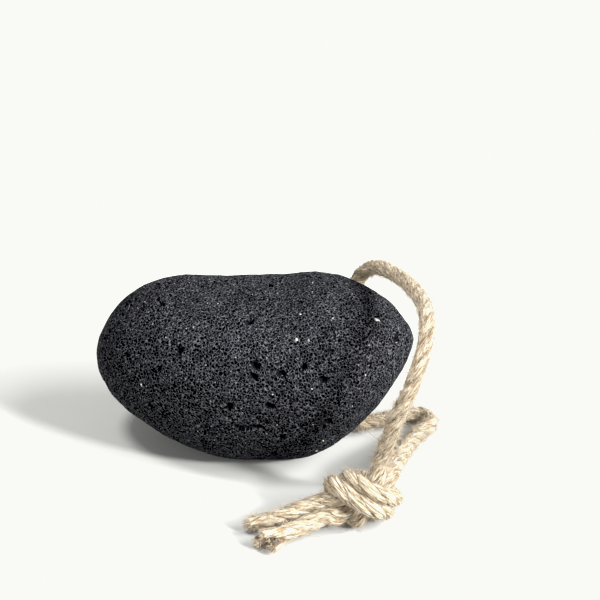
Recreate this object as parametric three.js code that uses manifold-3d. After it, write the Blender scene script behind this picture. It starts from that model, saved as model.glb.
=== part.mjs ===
// A pumice stone for the bath: one natural stone drilled near its narrow end, with one
// three-strand natural-fibre rope threaded through the hole. Both ends of the rope leave the
// stone, meet on the surface in front of it, are tied together in one knot and end in two tails.
// Millimetres, +Z up. The origin is the middle of the stone's footprint, on the surface.

import * as THREE from 'three';
import { mergeVertices } from 'three/addons/utils/BufferGeometryUtils.js';
import Module from 'manifold-3d';

// Driving dimensions of the stone
const stoneHalfLength = 54;
const stoneHalfHeight = 30.7;   // at the thickest section
const thickestStation = 0.3;    // from -1 at the blunt end to 1 at the narrow end
const depthToHeight = 1.08;     // the section is wider than it is high
const sectionFullness = 2.15;   // 2 is an ellipse, more is squarer
const topHeaviness = 0.16;      // the section is wider above its middle than below
const bellyHeight = 29.5;       // middle of the thickest section over the surface
const bluntEndRise = 2.7;       // how far the blunt end's middle lies above the belly's
const narrowEndRise = 15.2;     // the same at the narrow end
const bluntEndDrift = 6;        // how far the blunt end's middle lies behind the belly's
const narrowEndDrift = -6;      // the narrow end turns to the front
const stationCount = 40;
const ringSides = 48;

// Driving dimensions of the hole and the rope
const ropeDiameter = 5;
const boreDiameter = 7.2;
const boreTop = [35, 17.4, 53.4];
const boreBottom = [34, 4.2, 11.2];
const boreOverrun = 15;         // the cutter passes both mouths by this much
const ropeSides = 10;
const loopSteps = 78;
const tailSteps = 9;
const touchingGap = 0.3;        // between pieces that meet

// The knot's outer shape, a plain rounded body that rests on the surface
const knotCentre = [37, -48.5, 9.4];
const knotHalfSizes = [12.8, 12.4, 9.3];
const knotRings = 18;

// Middle of the rope, from the knot over the top of the stone, down through the hole,
// out along the surface, round and back to the knot
const loopRoute = [
  [39.6, -47.6, 15.5],
  [41.3, -48.8, 22.6],
  [42.4, -49.4, 26.2],
  [43.7, -50.5, 31.1],
  [46.2, -52.8, 41.5],
  [49.5, -52.6, 49.5],
  [52.4, -51, 57.3],
  [54.8, -46.7, 63.6],
  [56.1, -40, 68.5],
  [55.8, -31, 70.1],
  [54, -19.5, 69.2],
  [50.6, -8, 67.8],
  [46.6, 2.5, 65.8],
  [42.2, 12.2, 62.8],
  [38.6, 17.4, 59],
  [36, 18.6, 55.4],
  [35, 17, 52],
  [34.5, 10.5, 31.1],
  [34, 4.2, 11.2],
  [34.9, 3.9, 7.3],
  [37.4, 4.9, 5.2],
  [43.9, 9, 3.9],
  [51, 12.2, 3.2],
  [57.2, 15.2, 2.9],
  [60.6, 13.6, 2.8],
  [62, 8.8, 2.9],
  [60.3, 5.2, 3.1],
  [58, 1.8, 3.5],
  [54, -8.2, 5.6],
  [51.4, -17.5, 8.2],
  [48.7, -28, 11.2],
  [47.2, -33.4, 12.8],
  [45, -40.5, 13.5],
];

const upperTailRoute = [
  [30.5, -48.2, 10.7],
  [25, -49.8, 9.7],
  [21.5, -51, 8.8],
  [17, -52.2, 7.6],
  [8.3, -54, 5.1],
  [-1.4, -55.3, 3.4],
];

const lowerTailRoute = [
  [30.5, -53, 8],
  [25, -54.4, 6.8],
  [21.5, -56, 5.9],
  [17, -58.2, 5],
  [10.6, -61.8, 4.1],
  [3, -66.2, 3.5],
];

const wasm = await Module();
wasm.setup();

// Shared vertices merged, so that the mesh is one closed solid
function toSolid(geometry) {
  geometry.deleteAttribute('normal');
  geometry.deleteAttribute('uv');
  const merged = mergeVertices(geometry);
  const vertProperties = new Float32Array(merged.attributes.position.array);
  const triVerts = new Uint32Array(merged.index.array);
  return new wasm.Manifold(new wasm.Mesh({ numProp: 3, vertProperties, triVerts }));
}

function toGeometry(solid) {
  const { vertProperties, triVerts } = solid.getMesh();
  const geometry = new THREE.BufferGeometry();
  geometry.setAttribute('position', new THREE.BufferAttribute(new Float32Array(vertProperties), 3));
  geometry.setIndex(new THREE.BufferAttribute(new Uint32Array(triVerts), 1));
  geometry.computeVertexNormals();
  return geometry;
}

// Half height of the stone's section, as a share of the thickest one: a full round toward the
// blunt end, a long shoulder that falls away to the narrow end
function sectionShare(u) {
  const v = (u - thickestStation) / (u < thickestStation ? 1 + thickestStation : 1 - thickestStation);
  if (v < 0) return Math.pow(Math.max(0, 1 - Math.pow(-v, 3)), 0.515);
  return Math.pow(Math.max(0, 1 - Math.pow(v, 1.7)), 0.695);
}

const towardBlunt = (u) => THREE.MathUtils.smoothstep(-u, 0.1, 0.85);
const towardNarrow = (u) => Math.pow(THREE.MathUtils.clamp((u - 0.2) / 0.8, 0, 1), 1.5);

// Low waves over the surface, as wear and chance leave them
function lumps(u, angle) {
  return 1
    + 0.012 * Math.sin(3.1 * u + 0.4) * Math.cos(2 * angle + 0.7)
    + 0.009 * Math.sin(5.3 * u + 1.9) * Math.cos(3 * angle - 0.6)
    + 0.005 * Math.cos(7.9 * u) * Math.sin(4 * angle + 1);
}

// A sphere with its poles on X, each ring reshaped to the section at its station, then a
// small flat worn under the belly, which the stone rests on
function stoneSolid() {
  const geometry = new THREE.SphereGeometry(1, ringSides, stationCount);
  geometry.rotateZ(-Math.PI / 2);
  const position = geometry.attributes.position;
  for (let i = 0; i < position.count; i++) {
    const u = position.getX(i);
    const angle = Math.atan2(position.getZ(i), position.getY(i));
    const c = Math.abs(Math.cos(angle));
    const s = Math.abs(Math.sin(angle));
    const round = Math.pow(Math.pow(c, sectionFullness) + Math.pow(s, sectionFullness), -1 / sectionFullness);
    const radius = stoneHalfHeight * sectionShare(u) * round * lumps(u, angle);
    const wide = depthToHeight * (1 + topHeaviness * Math.sin(angle));
    const drift = bluntEndDrift * towardBlunt(u) + narrowEndDrift * towardNarrow(u);
    const height = bellyHeight + bluntEndRise * towardBlunt(u) + narrowEndRise * towardNarrow(u);
    position.setXYZ(i, u * stoneHalfLength, radius * wide * Math.cos(angle) + drift,
      height + radius * Math.sin(angle));
  }
  const surfaceBlock = new THREE.BoxGeometry(200, 200, 20).translate(0, 0, -10);
  const resting = toSolid(geometry).subtract(toSolid(surfaceBlock));
  const { min, max } = resting.boundingBox();
  const centred = resting.translate([-(min[0] + max[0]) / 2, -(min[1] + max[1]) / 2, 0]);
  return centred.subtract(boreCutter());
}

// A cylinder on the line through both mouths of the hole
function boreCutter() {
  const top = new THREE.Vector3(...boreTop);
  const bottom = new THREE.Vector3(...boreBottom);
  const along = top.clone().sub(bottom);
  const length = along.length() + 2 * boreOverrun;
  const cylinder = new THREE.CylinderGeometry(boreDiameter / 2, boreDiameter / 2, length, 20);
  cylinder.applyQuaternion(new THREE.Quaternion().setFromUnitVectors(
    new THREE.Vector3(0, 1, 0), along.normalize()));
  const middle = top.add(bottom).multiplyScalar(0.5);
  cylinder.translate(middle.x, middle.y, middle.z);
  return toSolid(cylinder);
}

function knotBody(grow) {
  const geometry = new THREE.SphereGeometry(1, 2 * knotRings, knotRings);
  geometry.scale(...knotHalfSizes.map((half) => half + grow));
  geometry.translate(...knotCentre);
  return toSolid(geometry);
}

// A round section carried along a smooth curve through the route's points
function ropeSolid(route, steps) {
  const curve = new THREE.CatmullRomCurve3(route.map((point) => new THREE.Vector3(...point)));
  const section = new THREE.Shape();
  for (let i = 0; i < ropeSides; i++) {
    const angle = (2 * Math.PI * i) / ropeSides;
    const x = (ropeDiameter / 2) * Math.cos(angle);
    const y = (ropeDiameter / 2) * Math.sin(angle);
    if (i === 0) section.moveTo(x, y);
    else section.lineTo(x, y);
  }
  section.closePath();
  return toSolid(new THREE.ExtrudeGeometry(section, { steps, extrudePath: curve, bevelEnabled: false }));
}

// The rope outside the knot stops just short of the knot's surface
function ropeOutsideKnot(route, steps) {
  return ropeSolid(route, steps).subtract(knotBody(touchingGap));
}

const pumice = new THREE.MeshStandardMaterial({ color: 0x3c3c41, roughness: 0.95, metalness: 0 });
const fibre = new THREE.MeshStandardMaterial({ color: 0xcbb694, roughness: 0.9, metalness: 0 });

const pumiceStone = new THREE.Group();

function addPiece(name, solid, material) {
  const mesh = new THREE.Mesh(toGeometry(solid), material.clone());
  mesh.name = name;
  pumiceStone.add(mesh);
}

addPiece('stone', stoneSolid(), pumice);
addPiece('rope_loop', ropeOutsideKnot(loopRoute, loopSteps), fibre);
addPiece('rope_knot', knotBody(0), fibre);
addPiece('rope_tail_upper', ropeOutsideKnot(upperTailRoute, tailSteps), fibre);
addPiece('rope_tail_lower', ropeOutsideKnot(lowerTailRoute, tailSteps), fibre);

export default pumiceStone;
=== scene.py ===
import itertools

import bpy
import numpy as np
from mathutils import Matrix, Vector


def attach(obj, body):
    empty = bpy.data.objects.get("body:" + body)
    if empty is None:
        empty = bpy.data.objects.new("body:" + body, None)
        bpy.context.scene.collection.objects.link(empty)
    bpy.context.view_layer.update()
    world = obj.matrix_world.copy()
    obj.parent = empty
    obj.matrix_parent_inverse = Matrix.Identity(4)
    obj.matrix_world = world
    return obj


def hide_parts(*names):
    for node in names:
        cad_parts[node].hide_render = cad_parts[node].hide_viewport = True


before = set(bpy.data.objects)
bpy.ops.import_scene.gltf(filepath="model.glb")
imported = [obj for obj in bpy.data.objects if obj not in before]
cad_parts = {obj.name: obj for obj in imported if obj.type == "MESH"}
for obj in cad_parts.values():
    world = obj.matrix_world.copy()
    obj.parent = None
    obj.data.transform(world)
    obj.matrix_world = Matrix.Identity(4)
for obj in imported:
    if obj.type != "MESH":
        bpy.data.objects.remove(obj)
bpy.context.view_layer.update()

# A drilled pumice stone with a three-strand rope threaded through it and knotted in front.
# The shapes below are worked out in millimetres and put into the meshes in metres.
mm = 0.001
scene = bpy.context.scene
print("frame loaded, nodes:", ", ".join(sorted(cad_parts)))


# The vectors divided by their lengths
def unit(vectors):
    return vectors / np.maximum(np.linalg.norm(vectors, axis=-1, keepdims=True), 1e-12)


# The share t of the way from low to high, eased: 3 t squared - 2 t cubed
def smoothStep(x, low, high):
    t = np.clip((x - low) / (high - low), 0.0, 1.0)
    return t * t * (3.0 - 2.0 * t)


# Whole-number cells mixed into one even random number each, from 0 to 1, the same in every run
def cellRandom(cells, seed):
    c = cells.astype(np.int64)
    h = (c[..., 0] * 73856093) ^ (c[..., 1] * 19349663) ^ (c[..., 2] * 83492791) ^ (seed * 40503 + 977)
    h = h & 0xFFFFFFFF
    h = ((h ^ (h >> 16)) * 0x45D9F3B) & 0xFFFFFFFF
    h = ((h ^ (h >> 16)) * 0x45D9F3B) & 0xFFFFFFFF
    return (h ^ (h >> 16)) / 4294967296.0


# Random numbers at the corners of unit cells, blended smoothly between them, from -1 to 1
def softNoise(points, seed):
    corner = np.floor(points)
    t = points - corner
    t = t * t * (3.0 - 2.0 * t)
    total = 0.0
    for step in itertools.product((0, 1), repeat=3):
        share = np.prod(np.where(np.array(step) == 1, t, 1.0 - t), axis=-1)
        total = total + share * cellRandom(corner + step, seed)
    return 2.0 * total - 1.0


# A smooth curve through the points, each stretch a cubic with its neighbours' slopes
def throughPoints(points, steps):
    p = np.asarray(points, float)
    q = np.concatenate([[2 * p[0] - p[1]], p, [2 * p[-1] - p[-2]]])
    t = np.linspace(0, 1, steps, endpoint=False)[None, :, None]
    a, b, c, d = (q[k:len(q) - 3 + k][:, None, :] for k in range(4))
    slope, bend, twist = c - a, 2 * a - 5 * b + 4 * c - d, 3 * b - a - 3 * c + d
    line = 0.5 * (2 * b + slope * t + bend * t ** 2 + twist * t ** 3)
    return np.concatenate([line.reshape(-1, 3), p[-1:]])


# How far along the line each of its points is: the running total of the distances between them
def arcLengths(line):
    return np.concatenate([[0.0], np.cumsum(np.linalg.norm(np.diff(line, axis=0), axis=1))])


# The same line with points a set step apart
def evenly(line, step):
    along = arcLengths(line)
    at = np.linspace(0, along[-1], int(round(along[-1] / step)) + 1)
    return np.stack([np.interp(at, along, line[:, k]) for k in range(3)], axis=1)


# Faces of a closed tube whose rings follow one another in the points: quads between the rings, and
# a fan over each end to the two points after the last ring
def tubeFaces(rings, sides):
    i, j = np.meshgrid(np.arange(rings - 1), np.arange(sides), indexing="ij")
    a, b = i * sides + j, i * sides + (j + 1) % sides
    quads = np.stack([a, b, b + sides, a + sides], axis=-1).reshape(-1, 4)
    j, last, tip = np.arange(sides), (rings - 1) * sides, rings * sides
    startFan = np.stack([(j + 1) % sides, j, np.full(sides, tip)], axis=1)
    endFan = np.stack([last + j, last + (j + 1) % sides, np.full(sides, tip + 1)], axis=1)
    return quads, np.concatenate([startFan, endFan])


# An object with the points, in millimetres, the faces and the values kept at the points
def makePiece(name, points, faceSets, material, attributes=None, smooth=True):
    mesh = bpy.data.meshes.new(name)
    mesh.vertices.add(len(points))
    mesh.vertices.foreach_set("co", (points * mm).astype(np.float32).ravel())
    sizes = np.concatenate([np.full(len(faces), faces.shape[1]) for faces in faceSets])
    corners = np.concatenate([faces.ravel() for faces in faceSets]).astype(np.int32)
    starts = np.concatenate([[0], np.cumsum(sizes)[:-1]]).astype(np.int32)
    mesh.loops.add(len(corners))
    mesh.loops.foreach_set("vertex_index", corners)
    mesh.polygons.add(len(sizes))
    mesh.polygons.foreach_set("loop_start", starts)
    mesh.update(calc_edges=True)
    if smooth:
        mesh.polygons.foreach_set("use_smooth", np.ones(len(sizes), bool))
    for label, values in (attributes or {}).items():
        kind, field = ("FLOAT", "value") if values.ndim == 1 else ("FLOAT_VECTOR", "vector")
        layer = mesh.attributes.new(label, kind, "POINT")
        layer.data.foreach_set(field, values.astype(np.float32).ravel())
    mesh.validate()
    mesh.materials.append(material)
    piece = bpy.data.objects.new(name, mesh)
    scene.collection.objects.link(piece)
    return piece


def readValues(data, field, count, kind=np.float32):
    values = np.zeros(count, kind)
    data.foreach_get(field, values)
    return values


# The camera stands back from its aim along a line tilted up by the elevation
cameraSettings = {
    "elevation": 28.0,               # degrees above the surface, looking along +Y
    "distance": 700.0,
    "aim": (15.727, 0.0, 56.601),
    "lens": 124.74,
    "sensor": 36.0,
}


def makeCamera(settings):
    tilt = np.radians(settings["elevation"])
    back = np.array([0.0, -np.cos(tilt), np.sin(tilt)])
    data = bpy.data.cameras.new("camera")
    data.lens = settings["lens"]
    data.sensor_width = settings["sensor"]
    data.clip_start = 0.01
    data.clip_end = 50.0
    camera = bpy.data.objects.new("camera", data)
    camera.location = Vector((np.array(settings["aim"]) + back * settings["distance"]) * mm)
    camera.rotation_euler = (np.pi / 2 - tilt, 0.0, 0.0)
    scene.collection.objects.link(camera)
    scene.camera = camera


makeCamera(cameraSettings)
print("camera made")


def newMaterial(name):
    material = bpy.data.materials.new(name)
    material.use_nodes = True
    tree = material.node_tree
    tree.nodes.clear()
    return material, tree


def addNode(tree, kind, inputs=None, **settings):
    node = tree.nodes.new(kind)
    for key, value in settings.items():
        setattr(node, key, value)
    for key, value in (inputs or {}).items():
        if isinstance(value, bpy.types.NodeSocket):
            tree.links.new(value, node.inputs[key])
        else:
            node.inputs[key].default_value = value
    return node


# The last node of a material: a shader of the kind with the inputs, joined to the output
def addShader(tree, kind, inputs):
    shader = addNode(tree, kind, inputs)
    tree.links.new(shader.outputs[0], addNode(tree, "ShaderNodeOutputMaterial").inputs["Surface"])


def addAttribute(tree, name, output="Fac"):
    return addNode(tree, "ShaderNodeAttribute", attribute_name=name).outputs[output]


def addObjectPlace(tree):
    return addNode(tree, "ShaderNodeTexCoord").outputs["Object"]


def addMath(tree, operation, a, b=0.0):
    return addNode(tree, "ShaderNodeMath", {0: a, 1: b}, operation=operation).outputs[0]


def addBump(tree, strength, distance, height):
    inputs = {"Strength": strength, "Distance": distance * mm, "Height": height}
    return addNode(tree, "ShaderNodeBump", inputs).outputs["Normal"]


def addRange(tree, value, low, high, toLow=0.0, toHigh=1.0):
    node = addNode(tree, "ShaderNodeMapRange", {"Value": value, "From Min": low, "From Max": high,
                                                "To Min": toLow, "To Max": toHigh},
                   interpolation_type="SMOOTHSTEP")
    return node.outputs["Result"]


# Two colours mixed: all of the first at a factor of 0, all of the second at 1
def addMix(tree, factor, a, b):
    a, b = ((*c, 1.0) if isinstance(c, tuple) else c for c in (a, b))
    return addNode(tree, "ShaderNodeMix", {0: factor, 6: a, 7: b}, data_type="RGBA").outputs[2]


def addNoise(tree, place, scale, detail=2.0, roughness=0.5):
    node = addNode(tree, "ShaderNodeTexNoise", {"Vector": place, "Scale": scale, "Detail": detail,
                                                "Roughness": roughness})
    return node.outputs["Fac"]


def addMapping(tree, place, scale, turn=(0.0, 0.0, 0.0)):
    node = addNode(tree, "ShaderNodeMapping", {"Vector": place, "Scale": scale, "Rotation": turn})
    return node.outputs["Vector"]


ropeSettings = {
    "diameter": 5.0,
    "lay": 20.5,                     # length of one whole turn of a strand
    "strandOffset": 1.3,             # from the rope's middle to a strand's middle
    "strandDeep": 1.2,               # half the strand's thickness toward the rope's middle
    "strandWide": 1.62,              # and across, where strands press on each other
    "step": 0.32,                    # between the rings of a strand
    "sides": 32,
    "yarnLay": 21.0,                 # the fibres wind the other way inside a strand
    "yarnRidges": 7,
    "ridge": 0.035,
    "swell": 0.05,
    "relief": 0.12,
    "easingRounds": 30,
    "offFloor": 0.08,
    "firstTurn": 0.6,                # radians, where the first strand starts
    "strandsApart": 700.0,           # between the strands' places in the colours
    "caps": ((0.93, 0.10), (0.72, 0.22), (0.45, 0.26), (0.2, 0.28)),  # a cut end's rings: share, push
    "capRagged": 0.35,
    "seed": 11,
}

# Middle of the rope from the arch's falling leg over the stone, down its hole and back along
# the surface, up to where the knot takes it over
archRoute = [
    (49.5, -52.6, 49.5), (52.4, -51, 57.3), (54.8, -46.7, 63.6), (56.1, -40, 68.5), (55.8, -31, 70.1),
    (54, -19.5, 69.2), (50.6, -8, 67.8), (46.6, 2.5, 65.8), (42.2, 12.2, 62.8), (38.6, 17.4, 59),
    (36, 18.6, 55.4), (35, 17, 52), (34.5, 10.5, 31.1),
]
lowRoute = [
    (34.5, 10.5, 31.1), (34, 4.2, 11.2), (34.9, 3.9, 7.3), (37.4, 4.9, 5.2), (43.9, 9, 3.9),
    (51, 12.2, 3.2), (57.2, 15.2, 2.9), (60.6, 13.6, 2.8), (62, 8.8, 2.9), (60.3, 5.2, 3.1),
    (58, 1.8, 3.5), (54, -8.2, 5.6),
]

# The knot: an overhand knot tied in the two legs together, so that two wraps lie side by side
# across its front. It starts as two plain coils and is pulled tight by smoothing the ropes
# while they are kept a rope's width apart.
knotSettings = {
    "middle": (36.6, -48.6, 10.0),
    "axis": (0.6, 0.46, 0.65),       # from the tails' side to the legs' side
    "front": (-0.16, -0.69, 0.69),   # where the open wraps face
    "coil": 7.0,                     # radius of a wrap at the start
    "turn": (-60.0, -610.0),         # degrees round the axis from the first elbow to the second
    "contact": 5.0,                  # width of the rope in the knot
    # the run inside the coils: height along the axis, and shares and widening of a rope's own offsets
    "core": [(4, 0, 1, 0), (-1, 0, 1, 0), (-5, 0.6, 1, 0.2), (-8.5, 1, 0.8, 2.2)],
    "step": 1.5,
    "rounds": 90,
    "settled": 0.85,                 # the share of the rounds after which the pull is weak
    "weakPull": 0.35,
    "stiffness": 0.3,
    "centring": 0.05,
    "shove": 1.5,
    "neighbours": 1.55,              # rope's widths along the rope within which points don't push
    "looked": 1.8,                   # rope's widths within which a pair is watched
    "floor": 2.6,
    "upperLeg": [(49.5, -52.6, 49.5), (46.2, -52.8, 41.5), (43.7, -50.5, 31.1), (42.4, -49.4, 26.2),
                 (41.3, -48.8, 22.6)],
    "lowerLeg": [(54, -8.2, 5.6), (51.4, -17.5, 8.2), (48.7, -28, 11.2), (47.2, -33.4, 12.8)],
    "upperTail": [(25, -49.8, 9.7), (21.5, -51, 8.8), (17, -52.2, 7.6), (8.3, -54, 5.1), (-1.4, -55.3, 3.4)],
    "lowerTail": [(25, -54.4, 6.8), (21.5, -56, 5.9), (17, -58.2, 5), (10.6, -61.8, 4.1), (3, -66.2, 3.5)],
}


# Either rope comes in along the knot's axis, turns outward past the coils' far end, goes one and
# a half times round (angle a, height along the axis = 4 * half the rope * turns from the middle),
# turns inward past their near end and leaves along the axis on the other side. The second rope
# lies one rope's width further along the axis.
def looseKnot(settings):
    forward = unit(np.array(settings["axis"]))
    front = np.array(settings["front"])
    front = unit(front - forward * (front @ forward))
    turned = np.stack([forward, front, np.cross(front, forward)])
    half, coil, core = settings["contact"] / 2, settings["coil"], settings["core"]
    angle = np.radians(np.linspace(*settings["turn"], 28))
    ropes = []
    for side, leg, tail in ((1, "upperLeg", "upperTail"), (-1, "lowerLeg", "lowerTail")):
        shift, across = -side * half, side * half
        inward = [(a + b * shift, c * across, -half - d) for a, b, c, d in core]
        along = shift - (angle / (2 * np.pi) + 1) * 4 * half
        coils = np.stack([along, coil * np.cos(angle), coil * np.sin(angle)], axis=1)
        outward = [(b * shift - a, c * across, half + d) for a, b, c, d in core[:1:-1]]
        outward.append((core[1][0], across, half))
        body = throughPoints([*inward, *coils, *outward], 8) @ turned + np.array(settings["middle"])
        into, out = throughPoints(settings[leg], 10), throughPoints(settings[tail], 10)
        ropes.append(np.concatenate([into[:-1], throughPoints([into[-1], body[0]], 12)[:-1], body,
                                     throughPoints([body[-1], out[0]], 12)[1:-1], out]))
    return ropes


# Each round draws every point toward the middle of its neighbours, which shortens the ropes,
# then pushes apart the points that are nearer than a rope's width. The legs and tails are held.
def tightenKnot(ropes, settings):
    width, step = settings["contact"], settings["step"]
    held = [[arcLengths(throughPoints(settings[name], 10))[-1] + 0.5 for name in pair]
            for pair in (("upperLeg", "upperTail"), ("lowerLeg", "lowerTail"))]
    middle = np.array(settings["middle"])
    for count in range(settings["rounds"]):
        if count % 8 == 0:
            ropes = [evenly(rope, step) for rope in ropes]
            first = len(ropes[0])
            points = np.concatenate(ropes)
            order = np.arange(len(points))
            rope = order >= first
            along = np.concatenate([np.arange(len(r)) * step for r in ropes])
            total = np.where(rope, (len(ropes[1]) - 1) * step, (first - 1) * step)
            pinned = (along < np.where(rope, held[1][0], held[0][0])) | \
                     (along > total - np.where(rope, held[1][1], held[0][1]))
            i, j = np.triu_indices(len(points), 1)
            joined = (rope[i] == rope[j]) & (np.abs(i - j) * step < settings["neighbours"] * width)
            apart = ~joined & ~(pinned[i] & pinned[j])
            i, j = i[apart], j[apart]
            near = ((points[j] - points[i]) ** 2).sum(1) < (width * settings["looked"]) ** 2
            i, j = i[near], j[near]
            free = order[~pinned]
        settling = count > settings["rounds"] * settings["settled"]
        pull = settings["stiffness"] * (settings["weakPull"] if settling else 1.0)
        points[free] += (0.5 * (points[free - 1] + points[free + 1]) - points[free]) * pull
        points[free] += (middle - points[free].mean(0)) * settings["centring"]
        for _ in range(8 if settling else 4):
            gap = points[j] - points[i]
            far = np.linalg.norm(gap, axis=1)
            hit = far < width
            push = gap[hit] * ((width - far[hit]) / np.maximum(far[hit], 1e-6) * 0.5)[:, None]
            shove = np.zeros_like(points)
            np.add.at(shove, j[hit], push)
            np.add.at(shove, i[hit], -push)
            met = np.bincount(j[hit], minlength=len(points)) + np.bincount(i[hit], minlength=len(points))
            shove *= (settings["shove"] / np.maximum(met, 1))[:, None]
            spread = shove.copy()
            spread[1:-1] = 0.5 * shove[1:-1] + 0.25 * (shove[:-2] + shove[2:])
            spread[pinned] = 0.0
            points = points + spread
        sunk = (points[:, 2] < settings["floor"]) & ~pinned
        points[sunk, 2] = settings["floor"]
        ropes = [points[:first], points[first:]]
    return ropes


# One line for the whole rope, from the upper tail's end to the lower tail's end, its kinks
# eased by a short running mean
def ropeLine(settings):
    upper, lower = tightenKnot(looseKnot(knotSettings), knotSettings)
    middle = np.concatenate([throughPoints(archRoute, 12), throughPoints(lowRoute, 12)[1:]])
    line = np.concatenate([upper[::-1], middle[1:-1], lower])
    line = evenly(line, settings["step"])
    for _ in range(settings["easingRounds"]):
        line[1:-1] = 0.5 * line[1:-1] + 0.25 * (line[:-2] + line[2:])
    line = evenly(line, settings["step"])
    line[:, 2] = np.maximum(line[:, 2], settings["diameter"] / 2 + settings["offFloor"])
    return line


# A frame carried along the line from ring to ring without twisting
def carriedFrame(line):
    tangent = unit(np.gradient(line, axis=0))
    side = np.empty_like(line)
    side[0] = unit(np.cross(tangent[0], [0.0, 0.0, 1.0]))
    for k in range(1, len(line)):
        s = side[k - 1] - tangent[k] * (side[k - 1] @ tangent[k])
        side[k] = s / np.sqrt(s @ s)
    return tangent, side, np.cross(tangent, side)


# How the cut ends come unlaid: each strand drifts away from the rope over the last stretch and
# is cut at its own length. Drifts are across the rope: to the left of its run, and up.
endSettings = {
    "upper": {"reach": 13.0, "slack": 0.7, "drift": [(-1.2, 0.8), (1.5, -0.3), (0.2, -0.4)],
              "cut": [0.0, 2.0, 0.9]},
    "lower": {"reach": 15.0, "slack": 0.8, "drift": [(1.7, 0.5), (0.9, -0.2), (-2.4, -0.2)],
              "cut": [1.8, 0.0, 2.6]},
}
# painted shade on the rope near the stone's lower mouth: its middle, near and far distance, and share
nearStoneShadeSettings = {"middle": (40.0, 6.5, 4.5), "reach": (19.5, 12.0), "share": 0.6}
thickerSettings = {"knot": 0.15, "knotReach": (16.0, 11.0), "end": 0.16, "endReach": (44.0, 26.0)}


# The three strands' middles, each a helix round the rope's line. The strands swell a little where
# the rope is bent hard in the knot and where it comes unlaid
def strandMiddles(line, settings):
    tangent, side, up = carriedFrame(line)
    along = arcLengths(line)
    toEnd = {"upper": along, "lower": along[-1] - along}
    loose = {end: smoothStep(toEnd[end], endSettings[end]["reach"], 0.0) for end in toEnd}
    fromKnot = np.linalg.norm(line - np.array(knotSettings["middle"]), axis=1)
    thick = 1 + thickerSettings["knot"] * smoothStep(fromKnot, *thickerSettings["knotReach"])
    toNearer = np.minimum(toEnd["upper"], toEnd["lower"])
    thick = thick + thickerSettings["end"] * smoothStep(toNearer, *thickerSettings["endReach"])
    easing = 1.0 - sum(endSettings[end]["slack"] * loose[end] for end in loose)
    turn = np.concatenate([[0.0], np.cumsum(0.5 * (easing[1:] + easing[:-1]) * np.diff(along))])
    level = unit(np.cross(tangent, [0.0, 0.0, 1.0]))
    above = np.cross(level, tangent)
    middles = []
    for k in range(3):
        angle = 2 * np.pi * (turn / settings["lay"] + k / 3.0) + settings["firstTurn"]
        out = side * np.cos(angle)[:, None] + up * np.sin(angle)[:, None]
        middle = line + out * (settings["strandOffset"] * thick)[:, None]
        for end in loose:
            toLeft, lift = endSettings[end]["drift"][k]
            middle = middle + (level * toLeft + above * lift) * (loose[end] ** 1.5)[:, None]
        middles.append((middle, out))
    return middles, thick


# One strand: an oval ring carried along the strand's own middle, its long side across the rope,
# with low ridges that wind against the lay and a grain of fibres drawn out along it
def strandSurface(middle, out, along, thick, settings, seed):
    tangent = unit(np.gradient(middle, axis=0))
    out = unit(out - tangent * (out * tangent).sum(1, keepdims=True))
    across = np.cross(tangent, out)
    around = 2 * np.pi * np.arange(settings["sides"]) / settings["sides"]
    wound = around[None, :] + 2 * np.pi * along[:, None] / settings["yarnLay"]
    grainPlace = np.stack([1.9 * np.cos(wound), 1.9 * np.sin(wound),
                           np.broadcast_to(along[:, None] * 0.22, wound.shape)], axis=-1)
    swellPlace = np.stack([along * 0.12, along * 0, along * 0], axis=1)
    swell = softNoise(swellPlace, seed + 5)[:, None] * settings["swell"]
    relief = 1.0 + settings["ridge"] * np.cos(settings["yarnRidges"] * wound) + swell
    relief = relief + settings["relief"] * softNoise(grainPlace * 1.5, seed)
    relief = relief + 0.6 * settings["relief"] * softNoise(grainPlace * 2.9, seed + 1)
    relief = relief * thick[:, None]
    deep = (settings["strandDeep"] * np.cos(around) * relief)[..., None]
    wide = (settings["strandWide"] * np.sin(around) * relief)[..., None]
    points = middle[:, None, :] + out[:, None, :] * deep + across[:, None, :] * wide
    place = np.stack([np.cos(wound), np.sin(wound), np.broadcast_to(along[:, None], wound.shape)], axis=-1)
    groove = np.broadcast_to(0.5 - 0.5 * np.cos(around), wound.shape)
    return points, place, groove, tangent


# The rings of one strand closed into a tube, with a domed and ragged cap of shrinking rings at
# each end: the fibres of a cut end stand at their own heights
def closedStrand(points, place, groove, tangent, settings, seed):
    shares = np.array([share for share, _ in settings["caps"]])
    caps = {0: [], -1: []}
    for last, sign in ((0, -1.0), (-1, 1.0)):
        ring, centre = points[last], points[last].mean(0)
        for share, push in settings["caps"]:
            rough = softNoise(ring * 2.4 * share + 9.1, seed + 3)[:, None] * settings["capRagged"]
            caps[last].append(centre + (ring - centre) * share + tangent[last] * sign * (push + rough))
    more = len(shares)
    rows = np.concatenate([np.stack(caps[0][::-1]), points, np.stack(caps[-1])])
    count, sides = rows.shape[:2]
    source = np.clip(np.arange(count) - more, 0, len(points) - 1)
    rowPlace, rowGroove = place[source], groove[source]
    inward = np.stack([shares, shares, np.ones(more)], axis=1)[:, None, :]
    rowPlace[:more] *= inward[::-1]
    rowPlace[-more:] *= inward
    verts = np.concatenate([rows.reshape(-1, 3), [rows[0].mean(0), rows[-1].mean(0)]])
    places = np.concatenate([rowPlace.reshape(-1, 3), [rowPlace[0].mean(0), rowPlace[-1].mean(0)]])
    grooves = np.concatenate([rowGroove.ravel(), [0.5, 0.5]])
    isEnd = np.zeros(len(verts))
    isEnd[:more * sides] = 1.0
    isEnd[(count - more) * sides:] = 1.0
    return verts, places, grooves, isEnd, *tubeFaces(count, sides)


# Painted shade, darker and browner, on the rope where it comes out below the stone: all of the share up to
# the near distance from the point where it comes out below, none of it past the far distance
def nearStoneShadeShare(points):
    away = np.linalg.norm(points - np.array(nearStoneShadeSettings["middle"]), axis=1)
    return nearStoneShadeSettings["share"] * smoothStep(away, *nearStoneShadeSettings["reach"])


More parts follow.
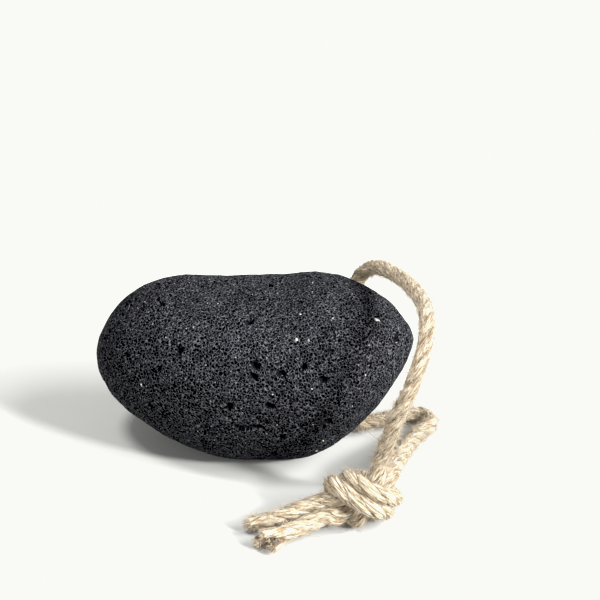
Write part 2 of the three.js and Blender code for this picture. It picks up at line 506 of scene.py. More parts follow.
# The three strands from one ring of the line to another, each cut short by its own lengths
def makeRope(name, line, middles, thick, first, last, cuts, material, settings):
    parts, base = [], 0
    along = arcLengths(line)
    for k, (middle, out) in enumerate(middles):
        keep = slice(first + int(round(cuts[0][k] / settings["step"])),
                     last - int(round(cuts[1][k] / settings["step"])))
        seed = settings["seed"] + 10 * k
        shape = strandSurface(middle[keep], out[keep], along[keep], thick[keep], settings, seed)
        verts, places, grooves, isEnd, quads, fans = closedStrand(*shape, settings, seed)
        apart = places + [0.0, 0.0, settings["strandsApart"] * k]
        parts.append((verts, apart, grooves, isEnd, quads + base, fans + base))
        base += len(verts)
    points, places, grooves, isEnd, quads, fans = (np.concatenate(part) for part in zip(*parts))
    points[:, 2] = np.maximum(points[:, 2], 0.02)
    return makePiece(name, points, [quads, fans], material, {
        "strandPlace": places, "groove": grooves, "cutEnd": isEnd, "nearStoneShade": nearStoneShadeShare(points)})


# Fibre colours follow a noise drawn out along the strands, with painted shade down in the grooves between the
# strands
def makeFibreMaterial():
    material, tree = newMaterial("naturalFibre")
    place = addAttribute(tree, "strandPlace", "Vector")
    streak = addNoise(tree, addMapping(tree, place, (3.0, 3.0, 0.34)), 1.0, 3.0, 0.6)
    fine = addNoise(tree, addMapping(tree, place, (6.5, 6.5, 0.8)), 1.0, 3.0, 0.65)
    patch = addNoise(tree, addMapping(tree, place, (0.9, 0.9, 0.22)), 1.0, 2.0, 0.5)
    gaps = addNoise(tree, addMapping(tree, place, (2.3, 2.3, 0.22), (0.0, 0.0, 1.1)), 1.0, 2.0, 0.5)
    fromGap = addMath(tree, "ABSOLUTE", addMath(tree, "SUBTRACT", gaps, 0.5))
    gap = addRange(tree, fromGap, 0.0, 0.035, 1.0, 0.0)
    ramp = addNode(tree, "ShaderNodeValToRGB", {"Fac": addMath(
        tree, "ADD", addMath(tree, "MULTIPLY", streak, 0.7), addMath(tree, "MULTIPLY", fine, 0.3))})
    stops = ((0.37, (0.085, 0.060, 0.034)), (0.44, (0.200, 0.155, 0.098)), (0.52, (0.345, 0.287, 0.203)),
             (0.60, (0.56, 0.50, 0.40)))
    for k, (at, colour) in enumerate(stops):
        stop = ramp.color_ramp.elements[k] if k < 2 else ramp.color_ramp.elements.new(at)
        stop.position = at
        stop.color = (*colour, 1.0)
    colour = ramp.outputs["Color"]
    for share, over in (
            (addRange(tree, patch, 0.62, 0.72, 0.0, 0.5), (0.30, 0.165, 0.075)),
            (addRange(tree, patch, 0.40, 0.28, 0.0, 0.4), (0.50, 0.45, 0.36)),
            (addMath(tree, "MULTIPLY", gap, 0.62), (0.105, 0.072, 0.040)),
            # painted shade on the strands' inner sides, in the grooves where they press on each other
            (addRange(tree, addAttribute(tree, "groove"), 0.24, 0.66, 0.0, 0.8), (0.075, 0.050, 0.028)),
            (addMath(tree, "MULTIPLY", addAttribute(tree, "cutEnd"), 0.25), (0.24, 0.17, 0.10)),
            # painted shade, darker and browner, on the rope near the stone's lower mouth
            (addAttribute(tree, "nearStoneShade"), (0.085, 0.062, 0.036))):
        colour = addMix(tree, share, colour, over)
    height = addMath(tree, "SUBTRACT", addMath(tree, "ADD", addMath(tree, "MULTIPLY", fine, 0.9), streak),
                     addMath(tree, "MULTIPLY", gap, 0.5))
    addShader(tree, "ShaderNodeBsdfPrincipled", {
        "Base Color": colour, "Roughness": addRange(tree, fine, 0.3, 0.7, 0.82, 0.58),
        "Normal": addBump(tree, 1.0, 0.26, height), "Subsurface Weight": 0.45,
        "Subsurface Radius": (1.0, 0.8, 0.6), "Subsurface Scale": 1.1 * mm,
        "Specular IOR Level": 0.12, "Sheen Weight": 0.06, "Sheen Roughness": 0.5})
    return material


# Loose fibres: thin three-sided hairs that start on the rope, follow its lay and lift off it.
# A hair's middle is its start + reach * t along it + lift * t squared outward + a curl
fuzzSettings = {
    "short": {"each": 27.0, "length": (1.0, 3.4), "lift": (0.15, 2.0), "curl": 0.5, "thick": 0.062},
    "long": {"each": 0.5, "length": (3.5, 7.5), "lift": (0.8, 3.0), "curl": 0.9, "thick": 0.05},
    "strays": [((38.2, 5.5, 3.4), (41.5, 2.2, 1.2), (45.2, 0.4, 0.3)),
               ((38.6, 8.2, 5.6), (41, 3.6, 2.6), (43.6, 2.3, 0.4))],
    "strayThick": 0.09,
    "fringe": {"count": 150, "radius": 1.25, "length": (0.8, 2.6), "fan": 0.24, "spread": 0.2,
               "thick": 0.07},
    "start": 2.4,                    # from the rope's middle
    "lean": (0.65, 0.6),             # radians from the rope's run: middle and spread
    "stations": 4,
    "sides": 3,
}


def hairMiddles(line, settings, stations, seed):
    random = np.random.default_rng(seed)
    tangent, side, up = carriedFrame(line)
    count = int(settings["each"] * arcLengths(line)[-1])
    at = random.integers(4, len(line) - 4, count)
    around = random.uniform(0, 2 * np.pi, count)
    out = side[at] * np.cos(around)[:, None] + up[at] * np.sin(around)[:, None]
    across = np.cross(tangent[at], out)
    lean = random.normal(*fuzzSettings["lean"], count)[:, None]
    heading = tangent[at] * np.cos(lean) + across * np.sin(lean)
    heading = heading * random.choice([-1, 1], count)[:, None]
    length = random.uniform(*settings["length"], count)[:, None, None]
    low, high = settings["lift"]
    lift = (low + (high - low) * random.random(count) ** 1.6)[:, None, None]
    t = np.linspace(0, 1, stations)[None, :, None]
    sway = unit(np.cross(heading, out))[:, None, :]
    phase = random.uniform(0, 2 * np.pi, count)[:, None, None]
    curl = settings["curl"] * random.random(count)[:, None, None]
    middle = (line[at] + out * fuzzSettings["start"])[:, None, :] + heading[:, None, :] * length * t
    droop = 0.12 * length * (lift < 0.5)
    middle = middle + out[:, None, :] * (lift - droop) * t ** 2
    return middle + sway * curl * (np.sin(phase + 4.0 * t) - np.sin(phase))


# Hairs of both kinds and the extra groups of middles, each ring shrinking toward the hair's tip
def makeFuzz(name, line, extra, material, settings, seed):
    stations, sides = settings["stations"], settings["sides"]
    groups = [(hairMiddles(line, settings[kind], stations, seed + n), settings[kind]["thick"])
              for n, kind in enumerate(("short", "long"))]
    groups.extend(extra)
    middle = np.concatenate([group for group, _ in groups])
    thick = np.concatenate([np.full(len(group), width) for group, width in groups])
    random = np.random.default_rng(seed + 7)
    thick = thick * random.uniform(0.6, 1.25, len(thick))
    tangent = unit(np.gradient(middle, axis=1))
    anyWay = unit(random.normal(size=(len(middle), 1, 3)))
    first = unit(np.cross(tangent, anyWay))
    second = np.cross(tangent, first)
    around = 2 * np.pi * np.arange(sides) / sides
    taper = (1.0 - 0.75 * np.linspace(0, 1, stations) ** 2)[None, :, None, None]
    ring = first[:, :, None, :] * np.cos(around)[:, None] + second[:, :, None, :] * np.sin(around)[:, None]
    points = middle[:, :, None, :] + ring * taper * thick[:, None, None, None]
    points[..., 2] = np.maximum(points[..., 2], 0.03)
    hair, station, j = np.meshgrid(np.arange(len(middle)), np.arange(stations - 1), np.arange(sides),
                                   indexing="ij")
    base = (hair * stations + station) * sides
    quads = np.stack([base + j, base + (j + 1) % sides, base + sides + (j + 1) % sides, base + sides + j],
                     axis=-1).reshape(-1, 4)
    start = np.arange(len(middle))[:, None] * stations * sides
    closeStart = start + np.arange(sides)[::-1]
    closeEnd = start + (stations - 1) * sides + np.arange(sides)
    tone = np.broadcast_to(random.random(len(middle))[:, None], (len(middle), stations * sides)).ravel()
    return makePiece(name, points.reshape(-1, 3), [quads, np.concatenate([closeStart, closeEnd])],
                     material, {"tone": tone})


# The fringe at a cut end: short stiff fibres that stand out of the strands' cut faces
def endFringe(middles, tips, sign, settings, stations, seed):
    random = np.random.default_rng(seed)
    count, t = settings["count"], np.linspace(0, 1, stations)[None, :, None]
    hairs = []
    for (middle, _), index in zip(middles, tips):
        tip = middle[index]
        ahead = unit(tip - middle[index - sign * 6])
        wide = unit(np.cross(ahead, [0.0, 0.0, 1.0]))
        high = np.cross(wide, ahead)
        angle = random.uniform(0, 2 * np.pi, count)[:, None]
        radius = settings["radius"] * np.sqrt(random.random(count))[:, None]
        off = wide * np.cos(angle) * radius + high * np.sin(angle) * radius
        length = random.uniform(*settings["length"], count)[:, None, None]
        fan = unit(ahead + off * settings["fan"] + random.normal(0, settings["spread"], (count, 3)))
        hairs.append((tip + off - ahead * 0.5)[:, None, :] + fan[:, None, :] * length * t
                     + off[:, None, :] * 0.18 * t ** 2)
    return np.concatenate(hairs)


# Pale and dark hairs by their own tone, with browner stretches
def makeHairMaterial():
    material, tree = newMaterial("looseFibre")
    along = addNoise(tree, addObjectPlace(tree), 900.0)
    pale = addMix(tree, addAttribute(tree, "tone"), (0.26, 0.195, 0.125), (0.50, 0.44, 0.345))
    colour = addMix(tree, addRange(tree, along, 0.5, 0.75, 0.0, 0.5), pale, (0.20, 0.14, 0.08))
    addShader(tree, "ShaderNodeBsdfPrincipled", {"Base Color": colour, "Roughness": 0.6,
                                                 "Specular IOR Level": 0.3})
    return material


fibreMaterial = makeFibreMaterial()
hairMaterial = makeHairMaterial()
wholeRope = ropeLine(ropeSettings)
strands, strandThick = strandMiddles(wholeRope, ropeSettings)
boreMiddle = int(np.argmin(np.linalg.norm(wholeRope - np.array(archRoute[-1]), axis=1)))
strayHairs = np.array([throughPoints(stray, 12)[::8] for stray in fuzzSettings["strays"]])
# Both runs of the rope, from the middle of the hole to a cut end: the mouth it leaves by, which way
# it goes along the line, its rings, and the seeds of its fringe and its loose fibres
runs = {"upper": ("top", -1, 0, boreMiddle + 1, 21, 31),
        "lower": ("bottom", 1, boreMiddle, len(wholeRope), 22, 41)}
ropes = {}
for end, (_, sign, first, last, _, _) in runs.items():
    cuts = ([0.0, 0.0, 0.0], endSettings[end]["cut"])[::sign]
    ropes[end] = makeRope("rope_%s_run" % end, wholeRope, strands, strandThick, first, last, cuts,
                          fibreMaterial, ropeSettings)
for end, (mouth, sign, first, last, fringeSeed, fuzzSeed) in runs.items():
    rope, path = ropes[end], wholeRope[first:last][::sign]
    outer = 0 if end == "upper" else len(wholeRope) - 1
    tips = [outer - sign * int(round(cut / ropeSettings["step"])) for cut in endSettings[end]["cut"]]
    fringe = endFringe(strands, tips, sign, fuzzSettings["fringe"], fuzzSettings["stations"], fringeSeed)
    extra = [(fringe, fuzzSettings["fringe"]["thick"])]
    if end == "lower":
        extra.append((strayHairs, fuzzSettings["strayThick"]))
    fuzz = makeFuzz("rope_fuzz_%s" % end, path, extra, hairMaterial, fuzzSettings, fuzzSeed)
    for piece in (rope, fuzz):
        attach(piece, "root")
    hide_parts("rope_loop", "rope_knot", "rope_tail_%s" % end)
    print("rope made, %s run %.1f mm" % (end, arcLengths(path)[-1]))


stoneSettings = {
    "halfLength": 54.0,
    "halfHeight": 30.7,              # at the thickest section
    "thickestStation": 0.3,          # from -1 at the blunt end to 1 at the narrow end
    "depthToHeight": 1.08,
    "fullness": 2.15,                # 2 is an ellipse, more is squarer
    "topHeaviness": 0.16,
    "bellyHeight": 29.5,
    "bluntRise": 2.7,
    "narrowRise": 15.2,
    "bluntDrift": 6.0,
    "narrowDrift": -6.0,
    "cellsAcross": 109,              # of the lattice that is wrapped round the stone
    "cellsAlong": 168,
    "latticeLength": 1.4,
    "boreDiameter": 7.2,
    "boreTop": (35, 17.4, 53.4),
    "boreBottom": (34, 4.2, 11.2),
    "boreSides": 56,
    "boreStep": 0.45,
    "drillPast": 15.0,               # how far the drill stands out at both mouths
}


# Half height of the section as a share of the thickest one, as in the solid model
def sectionShare(u, s):
    middle = s["thickestStation"]
    v = (u - middle) / np.where(u < middle, 1 + middle, 1 - middle)
    blunt = np.clip(1 - np.abs(np.minimum(v, 0)) ** 3, 0, 1) ** 0.515
    narrow = np.clip(1 - np.maximum(v, 0) ** 1.7, 0, 1) ** 0.695
    return np.where(v < 0, blunt, narrow)


# A ring of the stone at station u: a squarish oval, wider above its middle, which rises and
# drifts toward both ends, with low waves over it
def stonePoint(u, angle, s):
    c, v = np.abs(np.cos(angle)), np.abs(np.sin(angle))
    oval = (c ** s["fullness"] + v ** s["fullness"]) ** (-1 / s["fullness"])
    waves = 1 + 0.012 * np.sin(3.1 * u + 0.4) * np.cos(2 * angle + 0.7) \
        + 0.009 * np.sin(5.3 * u + 1.9) * np.cos(3 * angle - 0.6) \
        + 0.005 * np.cos(7.9 * u) * np.sin(4 * angle + 1)
    radius = s["halfHeight"] * sectionShare(u, s) * oval * waves
    toBlunt = smoothStep(-u, 0.1, 0.85)
    toNarrow = np.clip((u - 0.2) / 0.8, 0, 1) ** 1.5
    wide = s["depthToHeight"] * (1 + s["topHeaviness"] * np.sin(angle))
    drift = s["bluntDrift"] * toBlunt + s["narrowDrift"] * toNarrow
    height = s["bellyHeight"] + s["bluntRise"] * toBlunt + s["narrowRise"] * toNarrow
    return np.stack([u * s["halfLength"], radius * wide * np.cos(angle) + drift,
                     height + radius * np.sin(angle)], axis=-1)


# The six sides of a block of cells, swollen to a ball: even all over, with no poles
def blockLattice(s):
    counts = np.array([s["cellsAlong"], s["cellsAcross"], s["cellsAcross"]])
    places, quads, base = [], [], 0
    for axis in range(3):
        b, c = (axis + 1) % 3, (axis + 2) % 3
        i, j = np.meshgrid(np.arange(counts[b] + 1), np.arange(counts[c] + 1), indexing="ij")
        row = counts[c] + 1
        k, m = np.meshgrid(np.arange(counts[b]), np.arange(counts[c]), indexing="ij")
        start = (k * row + m).ravel()
        face = np.stack([start, start + row, start + row + 1, start + 1], axis=1)
        for far in (False, True):
            place = np.zeros((i.size, 3), int)
            place[:, axis] = counts[axis] if far else 0
            place[:, b] = i.ravel()
            place[:, c] = j.ravel()
            places.append(place)
            quads.append((face if far else face[:, ::-1]) + base)
            base += i.size
    places, quads = np.concatenate(places), np.concatenate(quads)
    key = (places[:, 0] * 1000 + places[:, 1]) * 1000 + places[:, 2]
    _, first, same = np.unique(key, return_index=True, return_inverse=True)
    share = 2.0 * places[first] / counts - 1.0
    reach = np.array([np.arctan(s["latticeLength"]), np.pi / 4, np.pi / 4])
    return unit(np.tan(share * reach)), same.ravel()[quads]


# Each corner's normal: the sum of the cross products of two sides of the triangles that meet there
def meshNormals(points, triangles):
    a, b, c = (points[triangles[:, k]] for k in range(3))
    turn = np.cross(b - a, c - a)
    total = [sum(np.bincount(triangles[:, k], weights=turn[:, axis], minlength=len(points)) for k in range(3))
             for axis in range(3)]
    return unit(np.stack(total, axis=1))


# The ball's directions turned to stations and angles, so that equal steps on the ball are
# equal steps along the stone's outline, then to the stone, worn flat where it rests
def plainStone(s):
    ball, quads = blockLattice(s)
    table = -np.cos(np.linspace(0, np.pi, 4001))
    outline = np.stack([table * s["halfLength"], s["halfHeight"] * sectionShare(table, s)], axis=1)
    along = arcLengths(outline)
    fromBlunt = np.arccos(np.clip(-ball[:, 0], -1, 1)) / np.pi
    u = np.interp(fromBlunt * along[-1], along, table)
    points = stonePoint(u, np.arctan2(ball[:, 2], ball[:, 1]), s)
    points[:, 2] = np.maximum(points[:, 2], 0.0)
    points[:, :2] -= 0.5 * (points[:, :2].min(0) + points[:, :2].max(0))
    return points, quads


# A closed round bar from start to end: circles at even stations and a fan over each end
def tubeMesh(start, end, radius, sides, step):
    axis = unit(end - start)
    one = unit(np.cross(axis, [0.0, 1.0, 0.0]))
    two = np.cross(axis, one)
    rings = int(np.linalg.norm(end - start) / step)
    around = 2 * np.pi * np.arange(sides) / sides
    circle = (one * np.cos(around)[:, None] + two * np.sin(around)[:, None]) * radius
    stations = start + (end - start) * np.linspace(0, 1, rings)[:, None]
    points = (stations[:, None, :] + circle[None]).reshape(-1, 3)
    return np.concatenate([points, [start, end]]), tubeFaces(rings, sides)


# The mesh's points in millimetres, and its triangles
def readMesh(mesh):
    mesh.calc_loop_triangles()
    points = readValues(mesh.vertices, "co", len(mesh.vertices) * 3)
    triangles = readValues(mesh.loop_triangles, "vertices", len(mesh.loop_triangles) * 3, np.int32)
    return points.reshape(-1, 3).astype(float) / mm, triangles.reshape(-1, 3)


# The plain stone with the hole cut through it
def boredStone(s, material):
    points, quads = plainStone(s)
    plain = makePiece("plain_stone", points, [quads], material)
    top, bottom = np.array(s["boreTop"], float), np.array(s["boreBottom"], float)
    past = unit(top - bottom) * s["drillPast"]
    tube = tubeMesh(bottom - past, top + past, s["boreDiameter"] / 2, s["boreSides"], s["boreStep"])
    drill = makePiece("drill", *tube, material)
    cut = plain.modifiers.new("bore", "BOOLEAN")
    cut.operation = "DIFFERENCE"
    cut.solver = "MANIFOLD"
    cut.object = drill
    bored = plain.evaluated_get(bpy.context.evaluated_depsgraph_get())
    result = readMesh(bored.to_mesh())
    bored.to_mesh_clear()
    bpy.data.objects.remove(plain)
    bpy.data.objects.remove(drill)
    return result


# The foam is a net of cells with thin walls, and a few larger bubbles cut open by the surface
foamSettings = {
    "cell": 1.02,
    "sway": 0.5,                     # how far a noise bends the walls
    "swayScale": 0.75,
    "depth": (0.15, 1.3),
    "rise": 0.22,                    # the walls stand this far over the solid model's surface
    "bubbles": {"cell": 4.6, "radius": (0.8, 1.3), "share": 0.30, "seed": 29},
    "deepest": 2.6,
}
fineFoamSettings = {"cell": 0.62, "sway": 0.5, "swayScale": 1.7}
# Larger open bubbles: from, to, radius
largePits = [
    ((-31, -3, 56.4), (-30.5, -3, 56.4), 1.2), ((-24, -22, 49.5), (-23.5, -22, 49.5), 1.3),
    ((-1.4, -17, 57.4), (-0.6, -17, 57.4), 1.3), ((1, -29.5, 48.5), (1.5, -29.8, 48), 1.3),
    ((0.3, -31.4, 45.2), (1, -31.4, 44.8), 1.2), ((9.2, -31.3, 46.1), (10, -31.3, 45.8), 1.3),
    ((-35, -20, 28), (-34.5, -20, 27.6), 1.2), ((-7.4, -32.7, 34.7), (-7.4, -32.7, 33.9), 1.2),
    ((5.5, -33.7, 35.3), (6.4, -33.7, 35.1), 1.3), ((23, -32.4, 44.7), (23.6, -32.4, 44.3), 1.3),
    ((24.5, -31.6, 27.8), (25.4, -31.6, 27.8), 1.4), ((47.8, -15, 50.3), (47.4, -15.6, 49.8), 1.3),
    ((17.6, 9.3, 60), (18.4, 9.3, 60), 1.2), ((-5, -31.6, 25.9), (2.9, -32.2, 26.4), 1.0),
]


# The same nodes draw the net in the shape and in the colour, so that a pore's hollow and its
# painted shade fall together. A place is bent by a noise, then measured to the nearest wall of its cell,
# in millimetres, beside the cell's own random colour
def addFoam(tree, place, s):
    noise = addNode(tree, "ShaderNodeTexNoise", {"Vector": place, "Scale": s["swayScale"], "Detail": 1.0})
    shift = addNode(tree, "ShaderNodeVectorMath", {0: noise.outputs["Color"], 1: (0.5, 0.5, 0.5)},
                    operation="SUBTRACT")
    bent = addNode(tree, "ShaderNodeVectorMath", {0: shift.outputs[0], 1: (s["sway"],) * 3, 2: place},
                   operation="MULTIPLY_ADD")
    net = {"Vector": bent.outputs[0], "Scale": 1.0 / s["cell"], "Randomness": 1.0}
    wall = addNode(tree, "ShaderNodeTexVoronoi", net, feature="DISTANCE_TO_EDGE").outputs["Distance"]
    own = addNode(tree, "ShaderNodeTexVoronoi", net, feature="F1").outputs["Color"]
    return addMath(tree, "MULTIPLY", wall, s["cell"]), own


# The net's values at the stone's corners, worked out by a passing Geometry Nodes modifier
def measureFoam(points, s):
    mesh = bpy.data.meshes.new("foam_places")
    mesh.vertices.add(len(points))
    mesh.vertices.foreach_set("co", points.astype(np.float32).ravel())
    holder = bpy.data.objects.new("foam_places", mesh)
    scene.collection.objects.link(holder)
    tree = bpy.data.node_groups.new("foamCells", "GeometryNodeTree")
    for way in ("INPUT", "OUTPUT"):
        tree.interface.new_socket("Geometry", in_out=way, socket_type="NodeSocketGeometry")
    wall, own = addFoam(tree, addNode(tree, "GeometryNodeInputPosition").outputs[0], s)
    flow = addNode(tree, "NodeGroupInput").outputs[0]
    for name, value, kind in (("wall", wall, "FLOAT"), ("own", own, "FLOAT_VECTOR")):
        kept = addNode(tree, "GeometryNodeStoreNamedAttribute", {"Geometry": flow, "Name": name},
                       data_type=kind, domain="POINT")
        tree.links.new(value, kept.inputs["Value"])
        flow = kept.outputs["Geometry"]
    tree.links.new(flow, addNode(tree, "NodeGroupOutput").inputs[0])
    modifier = holder.modifiers.new("foam", "NODES")
    modifier.node_group = tree
    measured = holder.evaluated_get(bpy.context.evaluated_depsgraph_get())
    result = measured.to_mesh()
    walls = readValues(result.attributes["wall"].data, "value", len(points))
    owns = readValues(result.attributes["own"].data, "vector", len(points) * 3)
    measured.to_mesh_clear()
    bpy.data.objects.remove(holder)
    bpy.data.node_groups.remove(tree)
    return walls.astype(float), owns.reshape(-1, 3).astype(float)


# How far a point may go in along the normal before it meets the far wall of a bubble that it is
# in: the larger root of (distance from the bubble's middle = radius) along that line
def bubbleDepth(points, normals, layer):
    cell = layer["cell"]
    home = np.floor(points / cell)
    deepest = np.zeros(len(points))
    for step in itertools.product((-1, 0, 1), repeat=3):
        near = home + step
        jitter = np.stack([cellRandom(near, layer["seed"] + k) for k in range(3)], axis=1)
        middle = (near + 0.5 + 0.9 * (jitter - 0.5)) * cell
        low, high = layer["radius"]
        radius = low + (high - low) * cellRandom(near, layer["seed"] + 3)
        radius = np.where(cellRandom(near, layer["seed"] + 4) < layer["share"], radius, 0.0)
        away = points - middle
        rise, apart = (away * normals).sum(1), (away ** 2).sum(1)
        root = np.sqrt(np.maximum(rise ** 2 + radius ** 2 - apart, 0))
        deepest = np.where(apart < radius ** 2, np.maximum(deepest, rise + root), deepest)
    return deepest


# The large pits: 1.5 times the root of (radius squared - distance from the pit's line squared)
def largePitDepth(points):
    depth = np.zeros(len(points))
    for start, end, radius in largePits:
        start, run = np.array(start, float), np.subtract(end, start).astype(float)
        share = np.clip(((points - start) @ run) / (run @ run), 0, 1)[:, None]
        away = ((points - start - share * run) ** 2).sum(1)
        depth = np.maximum(depth, 1.5 * np.sqrt(np.maximum(radius ** 2 - away, 0)))
    return depth


# The bored stone with the foam's pores sunk into it. The mouths of the hole are worn round, and
# its drilled wall is smoother
def foamedStone(s, foam, material):
    points, triangles = boredStone(s, material)
    normals = meshNormals(points, triangles)
    wobble = np.stack([softNoise(points * 1.1 + 7.7 * k, 50 + k) for k in range(3)], axis=1) * 0.2
    wall, own = measureFoam(points, foam)
    low, high = foam["depth"]
    cellDepth = low + (high - low) * smoothStep(own[:, 0], 0.08, 0.9)
    pore = cellDepth * smoothStep(wall, 0.08, 0.5)
    large = np.maximum(bubbleDepth(points + wobble, normals, foam["bubbles"]), largePitDepth(points + wobble))
    top, bottom = np.array(s["boreTop"], float), np.array(s["boreBottom"], float)
    axis = unit(top - bottom)
    fromAxis = np.linalg.norm(np.cross(points - bottom, axis), axis=1)
    drilled = smoothStep(fromAxis, s["boreDiameter"] / 2 + 0.5, s["boreDiameter"] / 2 + 0.05)
    drilled = drilled * (np.abs(normals @ axis) < 0.6)
    mouth = smoothStep(fromAxis, s["boreDiameter"] / 2 + 1.6, s["boreDiameter"] / 2) * (1 - drilled)
    depth = np.maximum(pore, large) * (1 - 0.6 * drilled) + 0.9 * mouth ** 2
    depth = np.minimum(depth, foam["deepest"])
    hills = 0.28 * softNoise(points * 0.16, 71) + 0.14 * softNoise(points * 0.42, 72)
    shown = points - normals * (depth - (foam["rise"] + hills) * (1 - drilled))[:, None]
    shown[:, 2] = np.maximum(shown[:, 2], 0.0)
    piece = makePiece("pumice_body", shown, [triangles], material,
                      {"restPlace": points, "pit": large / foam["deepest"]})
    return piece, points, normals, depth


# Struts of light ash round pores painted dark as shade, broken up by a finer net, with sparse bright specks
def makePumiceMaterial():
    material, tree = newMaterial("pumice")
    place = addAttribute(tree, "restPlace", "Vector")
    wall, own = addFoam(tree, place, foamSettings)
    fineWall, _ = addFoam(tree, place, fineFoamSettings)
    drift = addNoise(tree, place, 0.09, 3.0, 0.6)
    grain = addNoise(tree, place, 1.5, 3.0, 0.7)
    uneven = addMath(tree, "MULTIPLY_ADD", grain, -0.34)
    uneven.node.inputs[2].default_value = 0.17
    strut = addRange(tree, addMath(tree, "ADD", wall, uneven), 0.01, 0.12, 1.0, 0.0)
    fineStrut = addRange(tree, fineWall, 0.01, 0.08, 1.0, 0.0)
    bright = addMix(tree, addRange(tree, grain, 0.35, 0.65), (0.018, 0.0185, 0.022), (0.100, 0.102, 0.110))
    bright = addMix(tree, addRange(tree, drift, 0.35, 0.65, 0.0, 0.35), bright, (0.026, 0.026, 0.030))
    ownShare = addNode(tree, "ShaderNodeSeparateColor", {"Color": own}).outputs["Red"]
    # the pores' floors are painted shade: near black in deep cells, dark grey in shallow ones
    shallow = addRange(tree, ownShare, 0.28, 0.06)
    poreFloorShade = addMix(tree, shallow, (0.0008, 0.0008, 0.0011), (0.009, 0.0092, 0.011))
    poreFloorShade = addMix(tree, addMath(tree, "MULTIPLY", fineStrut, 0.12), poreFloorShade, bright)
    netShare = addMath(tree, "MULTIPLY", strut, addRange(tree, fineWall, 0.0, 0.10, 1.0, 0.72))
    colour = addMix(tree, netShare, poreFloorShade, bright)
    # painted shade, near black, deep in the large pits
    pitShade = addRange(tree, addAttribute(tree, "pit"), 0.12, 0.4, 0.0, 0.85)
    colour = addMix(tree, pitShade, colour, (0.006, 0.006, 0.008))
    tiny = addNode(tree, "ShaderNodeTexVoronoi", {"Vector": place, "Scale": 0.6, "Randomness": 1.0},
                   feature="F1")
    tinyShare = addNode(tree, "ShaderNodeSeparateColor", {"Color": tiny.outputs["Color"]}).outputs["Red"]
    speck = addMath(tree, "MULTIPLY", addRange(tree, tiny.outputs["Distance"], 0.15, 0.09),
                    addMath(tree, "GREATER_THAN", tinyShare, 0.84))
    colour = addMix(tree, speck, colour, (0.25, 0.25, 0.24))
    height = addMath(tree, "ADD", addMath(tree, "MULTIPLY", addRange(tree, wall, 0.0, 0.34, 1.0, 0.0), 0.8),
                     addMath(tree, "MULTIPLY", addRange(tree, fineWall, 0.0, 0.2, 1.0, 0.0), 0.35))
    addShader(tree, "ShaderNodeBsdfPrincipled", {
        "Base Color": colour, "Normal": addBump(tree, 0.75, 0.4, height), "Roughness": 0.85,
        "Specular IOR Level": 0.04})
    return material


pumiceMaterial = makePumiceMaterial()
stone, stonePlain, stoneNormals, stoneDepth = foamedStone(stoneSettings, foamSettings, pumiceMaterial)
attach(stone, "root")
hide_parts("stone")
print("stone made,", len(stone.data.polygons), "faces")


# Mineral grains caught in the foam: place, half length, and how pale from 0 to 1
grainSettings = {
    "placed": [
        ((14.5, -24.3, 54.3), 0.80, 1.0), ((18.6, -24.9, 54.6), 0.65, 0.0), ((41, -13.3, 56.2), 1.0, 0.9),
        ((-36.9, -19.6, 35.1), 0.45, 0.8), ((-19.3, -16.5, 55.2), 0.4, 0.8), ((15.8, -14.6, 58.8), 0.4, 0.9),
        ((26.5, -16.5, 58.6), 0.4, 0.8), ((19.9, -33.7, 41.7), 0.45, 0.7), ((37, -27.3, 43.4), 0.45, 0.9),
        ((6.8, -33.5, 39.3), 0.4, 0.8), ((23.3, -27.8, 18.5), 0.4, 0.9), ((20.9, -24, 12.2), 0.6, 1.0),
    ],
    "scattered": 150,
    "scatteredSize": (0.10, 0.26),
    "rings": 5,
    "sides": 7,
    "seed": 77,
}


# One grain is a ball of a few rings, drawn out, dented by a noise and turned at random. It sits
# with its middle a little under the surface
def makeGrains(s, points, normals, depth, material):
    random = np.random.default_rng(s["seed"])
    high = np.flatnonzero((depth < 0.35) & (points[:, 2] > 2.0))
    loose = random.choice(high, s["scattered"], replace=False)
    placed = np.array([np.argmin(((points - np.array(place)) ** 2).sum(1)) for place, _, _ in s["placed"]])
    seat = np.concatenate([placed, loose])
    size = np.concatenate([[row[1] for row in s["placed"]], random.uniform(*s["scatteredSize"], len(loose))])
    tone = np.concatenate([[row[2] for row in s["placed"]], random.uniform(0.3, 1.0, len(loose)) ** 1.5])
    polar = np.pi * (np.arange(s["rings"]) + 1) / (s["rings"] + 1)
    around = 2 * np.pi * np.arange(s["sides"]) / s["sides"]
    ring = np.stack([np.outer(np.sin(polar), np.cos(around)), np.outer(np.sin(polar), np.sin(around)),
                     np.outer(np.cos(polar), np.ones(s["sides"]))], axis=-1).reshape(-1, 3)
    ball = np.concatenate([ring, [[0, 0, 1.0], [0, 0, -1.0]]])
    stretch = random.uniform(0.45, 0.85, (len(seat), 3))
    stretch[:, 2] = random.uniform(1.0, 1.5, len(seat))
    dents = 1 + 0.22 * softNoise(ball[None] * 1.7 + 31.0 * np.arange(len(seat))[:, None, None], 83)
    shape = ball[None] * stretch[:, None, :] * dents[..., None] * size[:, None, None]
    one = unit(random.normal(size=(len(seat), 3)))
    two = unit(np.cross(one, random.normal(size=(len(seat), 3))))
    turn = np.stack([one, two, np.cross(one, two)], axis=1)
    middle = points[seat] + normals[seat] * (0.2 - 0.25 * size)[:, None]
    verts = np.einsum("gvk,gkc->gvc", shape, turn) + middle[:, None, :]
    verts[..., 2] = np.maximum(verts[..., 2], 0.02)
    faceSets = [np.roll(faces[:, ::-1], 1, axis=1) for faces in tubeFaces(s["rings"], s["sides"])]
    base = np.arange(len(seat))[:, None, None] * len(ball)
    faceSets = [(faces[None] + base).reshape(-1, faces.shape[1]) for faces in faceSets]
    return makePiece("mineral_grains", verts.reshape(-1, 3), faceSets, material,
                     {"tone": np.repeat(tone, len(ball))}, smooth=False)


